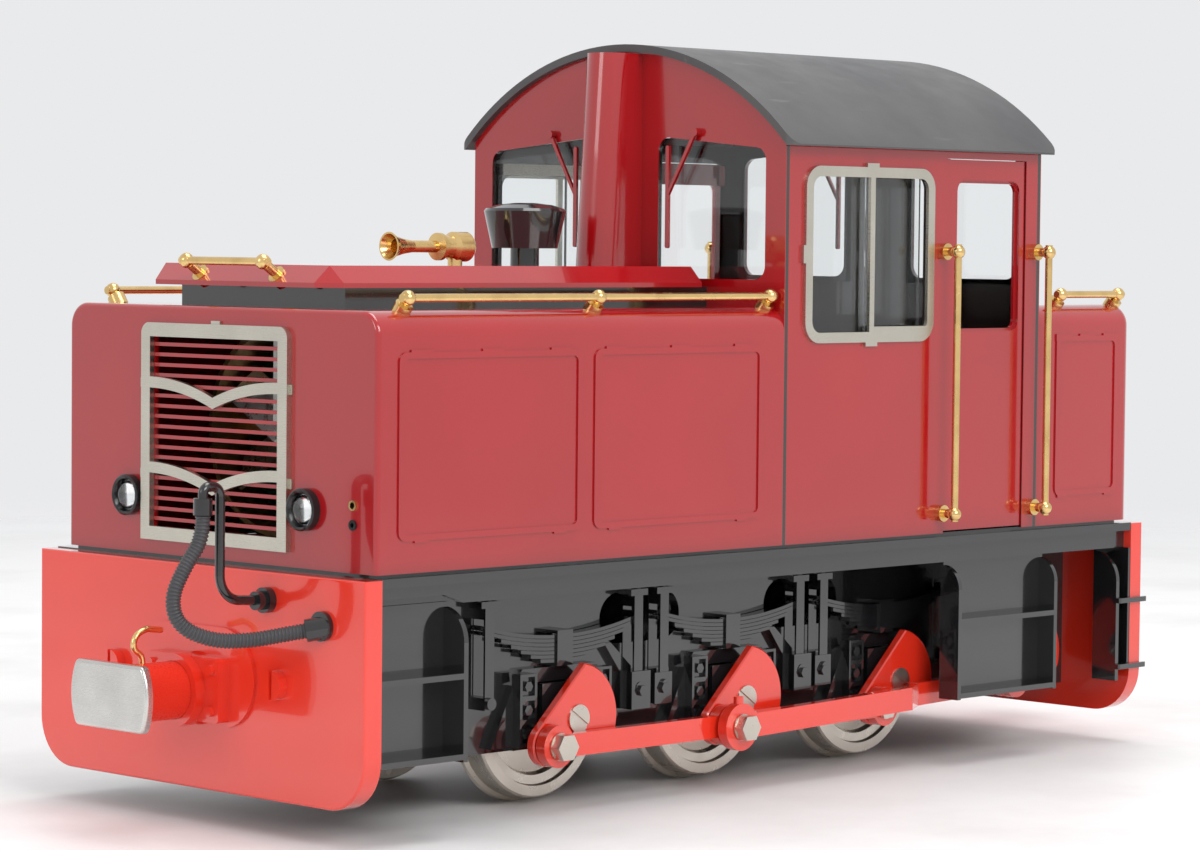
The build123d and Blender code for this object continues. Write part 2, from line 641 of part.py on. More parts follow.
def lid_solid():
    """A lid with a thin rim, bevelled edges and a triangular facet at each front corner."""
    x0, x1, w, c = DECK_REAR, DECK_FRONT, DECK_HALF, DECK_CORNER
    rim_top = DECK_Z[0] + DECK_RIM
    outline = polygon((x0, -w), (x1 - c, -w), (x1, c - w), (x1, w - c), (x1 - c, w), (x0, w))
    rim = Pos(0, 0, DECK_Z[0]) * extrude(outline, DECK_RIM)
    crown = tapered(x0, x1, w, DECK_BEVEL, rim_top, DECK_Z[1])
    for side in (-1, 1):
        front = Vector(x1, side * (w - c), rim_top)
        flank = Vector(x1 - c, side * w, rim_top)
        head = Vector(x1 - DECK_BEVEL, side * (w - DECK_BEVEL), DECK_Z[1])
        away = (flank - front).cross(head - front)
        if away.Z < 0:
            away = away * -1
        facet = Plane(origin=front, x_dir=flank - front, z_dir=away)
        crown -= facet * Pos(0, 0, 10) * Box(60, 60, 20)
    return rim + crown


def deck():
    solid = lid_solid()
    shell = solid - tapered(DECK_REAR + 1, DECK_FRONT - 4.6, 25.2, 3.0, DECK_Z[0] - 0.01, DECK_Z[1] - 1.0)
    post_hole = rod_z(1.6, 113, 116, -66.8, 0) + rod_z(2.0, 113, 116, -88.0, 0)
    save("deck", shell - post_hole)
    base = block(BONNET_REAR, -11.9, -26, 26, BONNET_TOP, DECK_Z[0])
    save("deck_base", base)
    return solid + base


def exhaust_duct(deck_solid):
    half = 5.5
    foot_z = BONNET_TOP
    head_z = 162.8
    slope = 3.3 / 50.0

    def section(z):
        depth = 13.1 + (115.0 - z) * slope
        front = BONNET_REAR + depth
        bend = front - half
        edges = [Line((BONNET_REAR, -half), (bend, -half)),
                 ThreePointArc((bend, -half), (front, 0), (bend, half)),
                 Line((bend, half), (BONNET_REAR, half)),
                 Line((BONNET_REAR, half), (BONNET_REAR, -half))]
        return Pos(0, 0, z) * make_face(edges)

    save("exhaust_duct", loft([section(foot_z), section(head_z)], ruled=True) - deck_solid)


def intake_and_horn():
    save("air_intake", spun_z(-88.0, 0, 0, (0, 113.4), (2.0, 113.4), (2.0, 115.0), (3.2, 115.0),
                              (3.2, 118.7), (7.3, 118.7), (9.1, 126.9), (8.6, 127.5), (6.0, 128.3),
                              (2.5, 128.7), (0, 128.7)))
    bell = spun_x(0, 0, 118.9, (-47.4, 3.1), (-47.4, 2.7), (-49.4, 1.6), (-53.0, 0.8), (-53.0, 0),
                  (-70.7, 0), (-70.7, 2.6), (-69.9, 3.25), (-66.0, 3.25), (-65.2, 2.4), (-63.0, 2.4),
                  (-62.4, 3.0), (-61.4, 3.0), (-61.0, 1.3), (-54.0, 1.3), (-51.2, 1.7), (-48.8, 2.3))
    foot = rod_z(1.6, 113.4, 116.4, -66.8, 0)
    save("horn", bell + foot)


# ---- brass rails --------------------------------------------------------------
RAIL_R = 0.85
BALL_R = 1.6


def stanchion(foot, ball, rod_dir):
    """A turned post with a flange at its foot and a bored ball at its head."""
    fx, fy, fz = foot
    bx, by, bz = ball
    long = math.dist(foot, ball)
    lean = tuple((b - a) / long for a, b in zip(foot, ball))
    flange_top = tuple(a + d * 1.6 for a, d in zip(foot, lean))
    under = tuple(a - d * 1.2 for a, d in zip(foot, lean))
    post = rod_between(1.05, under, ball) + rod_between(1.9, under, flange_top)
    post += Pos(bx, by, bz) * Sphere(BALL_R)
    reach = 2 * BALL_R
    tip = tuple(b + d * reach for b, d in zip(ball, rod_dir))
    tail = tuple(b - d * reach for b, d in zip(ball, rod_dir))
    return post - rod_between(RAIL_R, tail, tip)


def rail(balls):
    """A rod through its end balls, closed by a half ball at each end."""
    start, end = balls[0], balls[-1]
    long = math.dist(start, end)
    way = tuple((b - a) / long for a, b in zip(start, end))
    over = BALL_R + 0.1
    first = tuple(a - d * over for a, d in zip(start, way))
    last = tuple(b + d * over for b, d in zip(end, way))
    return rod_between(RAIL_R, first, last)


def handrails(bonnet_outer, bunker_outer, deck_solid):
    pieces = []
    for outer, posts in ((bonnet_outer, (-9.9, -63.9, -117.2)), (bunker_outer, (-220.5, -243.0))):
        balls = [(x, 47.0, 108.8) for x in posts]
        for ball in balls:
            pieces.append(stanchion((ball[0], 45.0, 106.2), ball, (1, 0, 0)) - outer)
        pieces.append(rail(balls))
    pieces = mirrored(*pieces)
    balls = [(-1.8, y, 115.6) for y in (-12.2, 12.2)]
    for ball in balls:
        pieces.append(stanchion((-6.6, ball[1], 112.2), ball, (0, 1, 0)) - deck_solid)
    pieces.append(rail(balls))
    return pieces


def grab_rails():
    pieces = []
    for x in (-173.4, -206.9):
        balls = [(x, 53.8, z) for z in (58.9, 118.8)]
        for ball in balls:
            foot = (x, BODY_HALF + 0.02, ball[2])
            post = stanchion(foot, ball, (0, 0, 1))
            pieces.append(post & block(x - 9, x + 9, BODY_HALF, 60, 40, 130))
        pieces.append(rail(balls))
    return mirrored(*pieces)


# ---- cab ----------------------------------------------------------------------
DOOR_X = (-203.7, -175.1)
DOOR_Z = (54.7, 139.9)
WINDOW_X = (-169.6, -125.5)
WINDOW_Z = (98.4, 137.5)
WINDOW_RIM = 2.3
END_WINDOW_Y = (10.7, 43.3)
END_WINDOW_Z = (112.3, 144.1)
END_WINDOW_FALL = 3.0       # how much lower the window's top is at its outer end
ROOF_CENTRE = ROOF_TOP - ROOF_R
EAVE_Z = ROOF_CENTRE + math.sqrt(ROOF_R ** 2 - ROOF_HALF ** 2) - 0.4


def roof():
    outer = rod_x(ROOF_R, -211.5, -117.7, 0, ROOF_CENTRE)
    outer -= rod_x(ROOF_R - ROOF_THICK, -212, -117, 0, ROOF_CENTRE)
    plan = Pos(-164.6, 0, EAVE_Z) * extrude(RectangleRounded(93.8, 2 * ROOF_HALF, 2.6), 40)
    sheet = outer & plan
    save("roof", sheet)


def under_roof(piece):
    return piece & rod_x(ROOF_R - ROOF_THICK, -215, -110, 0, ROOF_CENTRE)


def cab_end(x0, x1):
    wall = rect(-BODY_HALF, BODY_HALF, BODY_BOTTOM, ROOF_TOP)
    (near, far), (low, high) = END_WINDOW_Y, END_WINDOW_Z
    window = polygon((near, low), (far, low), (far, high - END_WINDOW_FALL), (near, high))
    window = fillet(window.vertices(), 3.0)
    wall -= window
    wall -= mirror(window, about=Plane.YZ)
    return under_roof(plate_x(wall, x0, x1))


def cab_side():
    wall = rect(CAB_REAR + SKIN, BONNET_REAR - SKIN, BODY_BOTTOM, 150)
    rim = WINDOW_RIM - 0.6
    wall -= rect(WINDOW_X[0] + rim, WINDOW_X[1] - rim, WINDOW_Z[0] + rim, WINDOW_Z[1] - rim, 3.0)
    wall -= rect(DOOR_X[0] - 0.15, DOOR_X[1] + 0.15, BODY_BOTTOM - 1, DOOR_Z[1] + 0.15)
    return under_roof(plate_y(wall, BODY_HALF - SKIN, BODY_HALF))


def side_window_frame():
    ring = rect(*WINDOW_X, *WINDOW_Z, 4.7)
    inner = (WINDOW_X[0] + WINDOW_RIM, WINDOW_X[1] - WINDOW_RIM)
    tall = (WINDOW_Z[0] + WINDOW_RIM, WINDOW_Z[1] - WINDOW_RIM)
    ring -= rect(*inner, *tall, 2.6)
    ring += rect(-148.7, -147.1, WINDOW_Z[0] + 1, WINDOW_Z[1] - 1)
    ring += rect(inner[0] - 1, -147.9, tall[0] - 1, tall[0] + 1.2)
    for z0, z1 in ((WINDOW_Z[1] - 1, WINDOW_Z[1] + 0.9), (WINDOW_Z[0] - 0.9, WINDOW_Z[0] + 1)):
        ring += rect(-149.9, -145.9, z0, z1)
    ring += rect(WINDOW_X[1] - 1, WINDOW_X[1] + 0.8, 116, 120)
    return plate_y(ring, BODY_HALF, BODY_HALF + 0.8)


def cab_glass():
    """Fixed panes: front half of each side window, and the four end windows."""
    tall = (WINDOW_Z[0] + 0.8, WINDOW_Z[1] - 0.8)
    panes = mirrored(block(-148.2, WINDOW_X[1] - 1, 46.95, 47.85, *tall))
    for side in (-1, 1):
        y0, y1 = sorted((side * (END_WINDOW_Y[0] - 1.2), side * (END_WINDOW_Y[1] + 1.2)))
        z0, z1 = END_WINDOW_Z[0] - 1.2, END_WINDOW_Z[1] + 1.2
        panes.append(block(BONNET_REAR - SKIN - 0.8, BONNET_REAR - SKIN, y0, y1, z0, z1))
        panes.append(block(CAB_REAR + SKIN, CAB_REAR + SKIN + 0.8, y0, y1, z0, z1))
    return panes


def sliding_pane():
    return block(WINDOW_X[0] + 1, -146.9, 45.6, 46.4, WINDOW_Z[0] + 0.8, WINDOW_Z[1] - 0.8)


def pane_channels():
    """The rails that carry the sliding pane, above and below the window."""
    channels = []
    for z0, z1 in ((WINDOW_Z[0] - 1.0, WINDOW_Z[0] + 1.6), (WINDOW_Z[1] - 1.6, WINDOW_Z[1] + 1.0)):
        strip = block(WINDOW_X[0] - 0.5, WINDOW_X[1] + 0.5, 45.0, 48.0, z0, z1)
        low, high = (z0 + 1.6, z1 + 1) if z0 < 110 else (z0 - 1, z1 - 1.6)
        strip -= block(WINDOW_X[0], WINDOW_X[1], 45.5, 46.5, low, high)
        strip -= block(WINDOW_X[0], WINDOW_X[1], 46.9, 47.9, low, high)
        channels.append(strip)
    return mirrored(*channels)


HINGE_X = -203.1
HINGE_Y = 47.0


def door():
    """A cab door hinged at its rear edge, with a raised window rim."""
    leaf_face = rect(*DOOR_X, *DOOR_Z) - rect(-201.8, -179.0, 100.5, 135.2, 2.6)
    panel = plate_y(leaf_face, BODY_HALF - SKIN - 0.2, BODY_HALF - 0.4)
    pane = rect(-203.0, -177.8, 99.3, 136.4) - rect(-201.2, -179.6, 101.1, 134.6, 2.0)
    panel += plate_y(pane, BODY_HALF - SKIN - 0.8, BODY_HALF - SKIN - 0.1)
    knob = rod_y(1.2, BODY_HALF - 5.0, BODY_HALF - SKIN, -178.2, 92.0)
    for z in (64.0, 90.0, 137.0):
        panel += rod_z(0.9, z - 2.5, z + 2.5, HINGE_X, HINGE_Y)
    return panel + knob


WIPER_Y = 22.9
WIPER_Z = 144.9


def wiper(side, wall_x, out):
    """A wiper on an end wall: spindle, forked arm and blade; out is the wall's outer side."""
    blade_y = 14.6
    joint_z = 131.0
    arm = polygon((WIPER_Y - 0.5, WIPER_Z), (WIPER_Y + 0.5, WIPER_Z), (blade_y + 0.5, joint_z),
                  (blade_y - 0.3, joint_z))
    arm += rect(blade_y - 0.5, blade_y + 0.5, 119.0, 142.0, 0.45)
    x0, x1 = sorted((wall_x + out * 0.6, wall_x + out * 1.3))
    piece = plate_x(arm, x0, x1)
    s0, s1 = sorted((wall_x + out * 0.02, wall_x + out * 1.5))
    piece += rod_x(0.95, s0, s1, WIPER_Y, WIPER_Z)
    return piece if side > 0 else mirror(piece, about=Plane.XZ)


def cab_fittings():
    desk = block(-132.0, -122.0, -26, 26, PLATE_TOP, 95.9)
    desk = chamfer(desk.edges().filter_by(Axis.Y).group_by(Axis.Z)[-1].sort_by(Axis.X)[0], 6.0)
    gauges = [rod_x(2.4, -133.4, -132.0, y, 84.0) for y in (-16.0, -8.0, 8.0, 16.0)]
    lever = rod_between(0.9, (-128.0, 0, 90.0), (-136.0, 0, 100.0)) + Pos(-136, 0, 100) * Sphere(1.8)
    seat = block(-166.0, -148.0, -9, 9, 74.0, 78.0) + rod_z(2.6, PLATE_TOP, 75.0, -157.0, 0)
    seat += block(-168.5, -165.0, -9, 9, 74.0, 96.0)
    return [desk] + gauges + [lever - desk, seat]


# ---- inside the bonnet --------------------------------------------------------
def bonnet_contents():
    cells = []
    for y in (-19.0, 19.0):
        for z in (64.5, 84.5):
            cells.append(rod_x(9.4, -112.0, -42.0, y, z))
    tray = block(-114.0, -40.0, -30, 30, PLATE_TOP, BODY_BOTTOM)
    save("battery_pack", *cells, tray)
    board = block(-38.0, -36.4, -36, 36, 56.0, 98.0)
    speaker = rod_x(11.0, -36.4, -31.0, 22.0, 76.0)
    chips = [block(-36.4, -34.6, y - 4, y + 4, 64, 72) for y in (-24.0, -10.0)]
    save("control_board", board, speaker, *chips)


# ---- couplers and brake pipe --------------------------------------------------
HEAD_BACK = 26.2
SHANK_R = 5.95
PIN_WIRE = 0.64


def coupler_base():
    pad = plate_x(Pos(0, 31) * SlotOverall(39.0, 20.6), FRONT_BEAM_FACE, FRONT_BEAM_FACE + 0.8)
    flange = plate_x(rect(-11.7, 11.7, 22.0, 35.2, 1.0), FRONT_BEAM_FACE + 0.8, 9.0)
    flange = flange + rod_x(7.6, 8.0, 11.4, 0, BUFFER_Z)
    hole = rod_x(SHANK_R + 0.08, FRONT_BEAM_FACE - 6, 13, 0, BUFFER_Z)
    bolts = []
    for y in (-9.4, 9.4):
        for z in (24.4, 32.8):
            bolts.append(rod_x(1.1, 9.0, 9.9, y, z))
    for y in (-25.9, 25.9):
        head = rod_x(3.0, FRONT_BEAM_FACE, FRONT_BEAM_FACE + 2.0, y, 31.0)
        bolts.append(head - block(FRONT_BEAM_FACE + 1.2, 9, y - 0.45, y + 0.45, 27, 35))
    return [(pad + flange) - hole] + bolts


def buffer():
    shank = rod_x(SHANK_R, -8.0, HEAD_BACK, 0, BUFFER_Z)
    shank -= rod_z(PIN_WIRE + 0.08, 20, 36, 19.2, 0)
    y, z0, z1 = 10.6, 21.4, 34.9
    bulge = 1.7
    edge = [Line((-y, z0), (y, z0)), ThreePointArc((y, z0), (y + bulge, BUFFER_Z), (y, z1)),
            Line((y, z1), (-y, z1)), ThreePointArc((-y, z1), (-y - bulge, BUFFER_Z), (-y, z0))]
    head = plate_x(make_face(edge), HEAD_BACK, BUFFER_FACE)
    head = fillet(head.edges().filter_by(Axis.X), 1.4)
    head = fillet(head.faces().sort_by(Axis.X)[-1].edges(), 0.7)
    return [shank, head]


def coupling_pin():
    foot, bend = (19.2, 0, 23.0), (19.2, 0, 34.4)
    hook = Spline(bend, (21.2, 0, 37.2), (20.7, 0, 39.8), (18.2, 0, 41.0), (14.3, 0, 40.6),
                  tangents=[(0, 0, 1), (-1, 0, -0.1)])
    section = Plane(origin=foot, z_dir=(0, 0, 1)) * Circle(PIN_WIRE)
    return sweep(section, path=Wire([Edge.make_line(foot, bend), hook.edge()]))


def beam_holes(beam):
    return beam - rod_x(SHANK_R + 0.08, FRONT_BEAM_BACK - 1, 13, 0, BUFFER_Z)


HOSE_R = 1.68
HOSE_ROUTE = ((22.4, 22.9, 65.7), (22.4, 22.9, 61.0), (25.4, 21.4, 56.0), (28.6, 20.6, 49.4),
              (27.4, 21.6, 43.8), (22.0, 25.6, 40.9), (16.0, 30.4, 41.0), (11.6, 34.6, 42.2),
              (8.2, 37.6, 43.0))


CORNER_SHARE = 0.45         # how much of the shorter run each corner's arc takes up


def rounded_tube(points, radius):
    """A round tube along straight runs joined by the largest tangent arcs."""
    corners = [Vector(*point) for point in points]
    pieces = []
    start = corners[0]
    for before, corner, after in zip(corners, corners[1:], corners[2:]):
        run_in = corner - before
        run_out = after - corner
        cut = CORNER_SHARE * min(run_in.length, run_out.length)
        enter = corner - run_in.normalized() * cut
        leave = corner + run_out.normalized() * cut
        arc_radius = cut / math.tan(math.radians(run_in.get_angle(run_out)) / 2)
        half_chord = (leave - enter).length / 2
        sag = arc_radius - math.sqrt(arc_radius ** 2 - half_chord ** 2)
        mid_chord = (enter + leave) / 2
        middle = mid_chord + (corner - mid_chord).normalized() * sag
        pieces.append(Edge.make_line(start, enter))
        pieces.append(Edge.make_three_point_arc(enter, middle, leave))
        start = leave
    pieces.append(Edge.make_line(start, corners[-1]))
    section = Plane(origin=corners[0], z_dir=corners[1] - corners[0]) * Circle(radius)
    tube = sweep(section, path=Wire(pieces))
    return tube


def brake_gear():
    y = 22.9
    flange = rod_x(2.6, FRONT_BEAM_FACE, 7.0, y, 47.9) + rod_x(1.9, 7.0, 9.0, y, 47.9)
    route = ((7.0, y, 47.9), (18.0, y, 48.6), (18.0, y, 71.2), (22.4, y, 71.2), (22.4, y, 68.2))
    pipe = rounded_tube(route, 1.0)
    ferrule = rod_z(1.9, 65.7, 69.0, 22.4, y)
    end = Vector(*HOSE_ROUTE[-1])
    way = (end - Vector(*HOSE_ROUTE[-2])).normalized()
    root = end + way * 5.0
    plug = rod_between(2.3, end, root) & block(FRONT_BEAM_FACE, 12, 30, 50, 35, 50)
    plate = rod_x(3.0, FRONT_BEAM_FACE, 6.4, root.Y - 1.2, root.Z)
    save("brake_pipe", flange + pipe + ferrule, plug + plate)
    save("brake_hose", rounded_tube(HOSE_ROUTE, HOSE_R))


# ---- the whole engine ---------------------------------------------------------
save("main_frames", *mirrored(main_frame()))
save("frame_stretchers", *stretchers(), *drive_train())
save("footplate", *footplate())
beam = beam_holes(buffer_beam())
save("buffer_beams", beam, to_rear(beam))
save("step_boxes", *step_boxes())

springs, hangers, boxes, guides = [], [], [], []
for axle_x in AXLE_X:
    springs += leaf_spring(axle_x)
    hangers += spring_hanger(axle_x - HANGER_REACH) + spring_hanger(axle_x + HANGER_REACH)
    boxes.append(axlebox(axle_x))
    guides += [axlebox_guide(axle_x)] + guide_bolts(axle_x)
for bracket_x in (AXLE_X[0] - WHEEL_BASE / 2, AXLE_X[1] - WHEEL_BASE / 2):
    hangers += link_bracket(bracket_x)
save("leaf_springs", *mirrored(*springs))
save("spring_hangers", *mirrored(*hangers))
save("axleboxes", *mirrored(*boxes))
save("axlebox_guides", *mirrored(*guides))

shaft("wheelset_1", AXLE_X[0], AXLE_Z, SINGLE_PIN, mirrored(wheel()))
shaft("wheelset_2", AXLE_X[1], AXLE_Z, DOUBLE_PIN, mirrored(wheel()) + [axle_gear()])
shaft("wheelset_3", AXLE_X[2], AXLE_Z, FLUSH_PIN, mirrored(wheel()))
shaft("jackshaft", JACK_X, JACK_Z, SINGLE_PIN, [])
for name, phase, side in (("left", LEFT_PHASE, 1), ("right", RIGHT_PHASE, -1)):
    save(f"coupling_rod_{name}", coupling_rod(phase, side))
    save(f"drive_rod_{name}", drive_rod(phase, side))

bonnet_outer = bonnet()
bunker_outer = bunker()
grille()
radiator_fan()
front_lamps()
deck_solid = deck()
exhaust_duct(deck_solid)
intake_and_horn()
save("handrails", *handrails(bonnet_outer, bunker_outer, deck_solid), *grab_rails())

save("cab_ends", cab_end(BONNET_REAR - SKIN, BONNET_REAR), cab_end(CAB_REAR, CAB_REAR + SKIN))
save("cab_sides", *mirrored(cab_side()))
save("window_frames", *mirrored(side_window_frame()), *pane_channels())
save("cab_glass", *cab_glass())
roof()
for name, flip in (("left", False), ("right", True)):
    leaf_solid = door()
    pane_solid = sliding_pane()
    if flip:
        leaf_solid = mirror(leaf_solid, about=Plane.XZ)
        pane_solid = mirror(pane_solid, about=Plane.XZ)
    save(f"cab_door_{name}", leaf_solid)
    save(f"sliding_pane_{name}", pane_solid)
for name, side in (("left", 1), ("right", -1)):
    save(f"wiper_front_{name}", wiper(side, BONNET_REAR, 1))
    save(f"wiper_rear_{name}", wiper(side, CAB_REAR, -1))
save("cab_fittings", *cab_fittings())
bonnet_contents()

base = coupler_base()
save("coupler_bases", *base, *[to_rear(piece) for piece in base])
save("buffer_front", *buffer())
save("buffer_rear", *[to_rear(piece) for piece in buffer()])
save("coupling_pin_front", coupling_pin())
save("coupling_pin_rear", to_rear(coupling_pin()))
brake_gear()
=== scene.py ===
import json
import math

import bmesh
import bpy
from mathutils import Matrix, Vector


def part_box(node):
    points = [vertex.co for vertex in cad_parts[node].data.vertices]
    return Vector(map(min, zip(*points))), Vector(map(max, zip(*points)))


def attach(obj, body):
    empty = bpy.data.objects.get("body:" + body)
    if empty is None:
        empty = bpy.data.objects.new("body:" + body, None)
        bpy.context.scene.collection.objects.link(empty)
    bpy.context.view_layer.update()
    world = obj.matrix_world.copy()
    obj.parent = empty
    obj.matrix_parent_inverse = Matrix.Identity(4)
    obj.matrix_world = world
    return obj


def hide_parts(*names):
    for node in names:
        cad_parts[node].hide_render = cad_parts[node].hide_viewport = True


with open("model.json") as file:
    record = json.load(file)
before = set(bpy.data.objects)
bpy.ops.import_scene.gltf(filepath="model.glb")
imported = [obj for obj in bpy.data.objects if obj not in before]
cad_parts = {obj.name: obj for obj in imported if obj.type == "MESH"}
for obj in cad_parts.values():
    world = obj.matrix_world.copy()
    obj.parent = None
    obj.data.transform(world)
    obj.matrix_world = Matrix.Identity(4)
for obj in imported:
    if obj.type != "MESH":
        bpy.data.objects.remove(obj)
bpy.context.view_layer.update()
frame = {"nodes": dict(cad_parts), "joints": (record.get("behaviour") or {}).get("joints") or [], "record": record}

NODES = frame["nodes"]
MM = 0.001
SLOT_OF = {part["node"]: part["material_slot"] for part in frame["record"]["subparts"]}
JOINT_AT = {joint["name"]: joint.get("pos_m") for joint in frame["joints"]}


# ---- shader helpers -----------------------------------------------------------
class Shader:
    """A Principled material with short helpers for its node tree."""

    def __init__(self, name, colour, roughness, metallic=0.0, coat=0.0, ior=1.5):
        self.material = bpy.data.materials.new(name)
        self.material.use_nodes = True
        self.nodes = self.material.node_tree.nodes
        self.links = self.material.node_tree.links
        self.bsdf = self.nodes["Principled BSDF"]
        self.set("Base Color", (*colour, 1.0))
        self.set("Roughness", roughness)
        self.set("Metallic", metallic)
        self.set("IOR", ior)
        if coat:
            self.set("Coat Weight", coat)
            self.set("Coat Roughness", 0.03)

    def set(self, socket, value):
        self.bsdf.inputs[socket].default_value = value

    def add(self, kind, **settings):
        node = self.nodes.new(kind)
        for key, value in settings.items():
            setattr(node, key, value)
        return node

    def place(self, offset=(0, 0, 0), scale=(1, 1, 1)):
        """Object coordinates, moved by offset and then scaled."""
        where = self.add("ShaderNodeTexCoord")
        mapping = self.add("ShaderNodeMapping", vector_type="TEXTURE")
        mapping.inputs["Location"].default_value = offset
        mapping.inputs["Scale"].default_value = scale
        self.links.new(where.outputs["Object"], mapping.inputs["Vector"])
        return mapping.outputs["Vector"]

    def noise(self, size, detail=3.0, vector=None, rough=0.5):
        """Noise whose features are about size metres across."""
        node = self.add("ShaderNodeTexNoise")
        node.inputs["Scale"].default_value = 1.0 / size
        node.inputs["Detail"].default_value = detail
        node.inputs["Roughness"].default_value = rough
        self.links.new(vector or self.place(), node.inputs["Vector"])
        return node.outputs["Fac"]

    def ramp(self, value, low, high, out_low, out_high):
        node = self.add("ShaderNodeMapRange")
        for key, number in (("From Min", low), ("From Max", high),
                            ("To Min", out_low), ("To Max", out_high)):
            node.inputs[key].default_value = number
        self.links.new(value, node.inputs["Value"])
        return node.outputs["Result"]

    def math(self, operation, first, second=None):
        node = self.add("ShaderNodeMath", operation=operation)
        for socket, value in zip(node.inputs, (first, second)):
            if value is None:
                continue
            if isinstance(value, (int, float)):
                socket.default_value = value
            else:
                self.links.new(value, socket)
        return node.outputs[0]

    def mix(self, factor, first, second):
        """Mix two colours; each is a tuple or an output."""
        node = self.add("ShaderNodeMix", data_type="RGBA")
        self.links.new(factor, node.inputs["Factor"])
        for socket, value in ((node.inputs[6], first), (node.inputs[7], second)):
            if isinstance(value, tuple):
                socket.default_value = (*value, 1.0)
            else:
                self.links.new(value, socket)
        return node.outputs[2]

    def axis(self, name, vector=None):
        node = self.add("ShaderNodeSeparateXYZ")
        self.links.new(vector or self.place(), node.inputs[0])
        return node.outputs[name]

    def base(self, output):
        self.links.new(output, self.bsdf.inputs["Base Color"])

    def rough(self, output):
        self.links.new(output, self.bsdf.inputs["Roughness"])

    def bump(self, height, depth, strength=1.0):
        node = self.add("ShaderNodeBump")
        node.inputs["Distance"].default_value = depth
        node.inputs["Strength"].default_value = strength
        self.links.new(height, node.inputs["Height"])
        self.links.new(node.outputs["Normal"], self.bsdf.inputs["Normal"])


def tint(colour, factor):
    return tuple(min(1.0, part * factor) for part in colour)


# ---- materials ----------------------------------------------------------------
BODY_RED = (0.36, 0.004, 0.007)
VERMILION = (0.74, 0.030, 0.012)
GLOSS_BLACK = (0.010, 0.010, 0.011)
BEZEL_BLACK = (0.012, 0.012, 0.013)
# painted shade: the dark tone given to the inner faces of the red cab walls, standing in for the shadow inside the
# cab
CAB_INNER_SHADE = (0.022, 0.012, 0.010)
BRASS = (0.80, 0.56, 0.24)

CAB_SKIN_AT = 49.0 * MM         # the cab sides keep their red outside this distance from the centre and get painted shade inside it
CAB_END_SKIN = 0.2 * MM         # the same for the cab ends, measured in from their outer faces
BUFFER_PLATE = 3.25 * MM        # length of bare metal at the end of each buffer
BRASS_SOCKET = (40.0 * MM, 65.8 * MM)   # the brass-ringed socket is beyond this y and above this z
RING_WAVES = 30000.0            # turned rings: radians of the ring pattern per metre of radius


def paint(name, colour, roughness=0.16, coat=1.0, painted_shade=None):
    """Sprayed enamel: slight colour drift, orange peel, a little dust; the optional mask paints shade over a cab's
    inner faces.
    """
    shader = Shader(name, colour, roughness, coat=coat)
    drift = shader.ramp(shader.noise(0.05, 2.0), 0.3, 0.7, 0.0, 1.0)
    tone = shader.mix(drift, tint(colour, 0.93), tint(colour, 1.06))
    specks = shader.ramp(shader.noise(0.0011, 2.0), 0.70, 0.78, 0.0, 0.18)
    tone = shader.mix(specks, tone, tint(colour, 1.5))
    if painted_shade:
        # painted shade over the cab's inner faces
        tone = shader.mix(painted_shade(shader), tone, CAB_INNER_SHADE)
    shader.base(tone)
    shader.rough(shader.ramp(shader.noise(0.012, 4.0), 0.3, 0.75, roughness * 0.75, roughness * 1.5))
    shader.bump(shader.noise(0.0016, 2.0), 0.000012, 0.6)
    return shader.material


# mask for painted shade on the inner faces of the cab sides
def cab_side_shade_mask(shader):
    depth = shader.math("ABSOLUTE", shader.axis("Y"))
    return shader.math("LESS_THAN", depth, CAB_SKIN_AT)


# mask for painted shade on the inner faces of the cab ends
def cab_end_shade_mask(shader):
    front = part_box("cab_ends")[1][0]
    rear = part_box("cab_ends")[0][0]
    middle = (front + rear) / 2
    reach = (front - rear) / 2 - CAB_END_SKIN
    away = shader.math("ABSOLUTE", shader.math("SUBTRACT", shader.axis("X"), middle))
    return shader.math("LESS_THAN", away, reach)


def satin_roof():
    """Satin grey-black roof with fine dust and handling scuffs."""
    colour = (0.060, 0.060, 0.062)
    shader = Shader("roof_satin", colour, 0.42)
    cloud = shader.ramp(shader.noise(0.03, 5.0), 0.35, 0.7, 0.0, 1.0)
    tone = shader.mix(cloud, colour, (0.085, 0.083, 0.082))
    streak = shader.noise(0.004, 4.0, shader.place(scale=(5.0, 0.6, 1.0)))
    tone = shader.mix(shader.ramp(streak, 0.66, 0.74, 0.0, 0.35), tone, (0.20, 0.195, 0.19))
    shader.base(tone)
    shader.rough(shader.ramp(shader.noise(0.008, 4.0), 0.3, 0.7, 0.36, 0.5))
    shader.bump(shader.noise(0.0006, 2.0), 0.00003, 0.5)
    return shader.material


def brushed(name, colour, roughness, along, grain=0.00012, depth=0.00001):
    """Rolled or brushed metal with its grain along one axis ('X', 'Y' or 'Z')."""
    shader = Shader(name, colour, roughness, metallic=1.0)
    scale = [1.0, 1.0, 1.0]
    scale["XYZ".index(along)] = 60.0
    lines = shader.noise(grain, 3.0, shader.place(scale=tuple(scale)))
    cloud = shader.noise(0.01, 3.0)
    shader.base(shader.mix(cloud, tint(colour, 0.85), tint(colour, 1.1)))
    shader.rough(shader.ramp(lines, 0.3, 0.7, roughness * 0.75, roughness * 1.35))
    shader.bump(lines, depth, 0.7)
    return shader.material


def polished_brass():
    shader = Shader("brass_polished", BRASS, 0.16, metallic=1.0)
    tarnish = shader.ramp(shader.noise(0.006, 5.0), 0.45, 0.75, 0.0, 0.55)
    shader.base(shader.mix(tarnish, BRASS, (0.50, 0.31, 0.11)))
    shader.rough(shader.ramp(shader.noise(0.0015, 4.0), 0.3, 0.7, 0.13, 0.30))
    shader.bump(shader.noise(0.0004, 2.0), 0.000006, 0.6)
    return shader.material


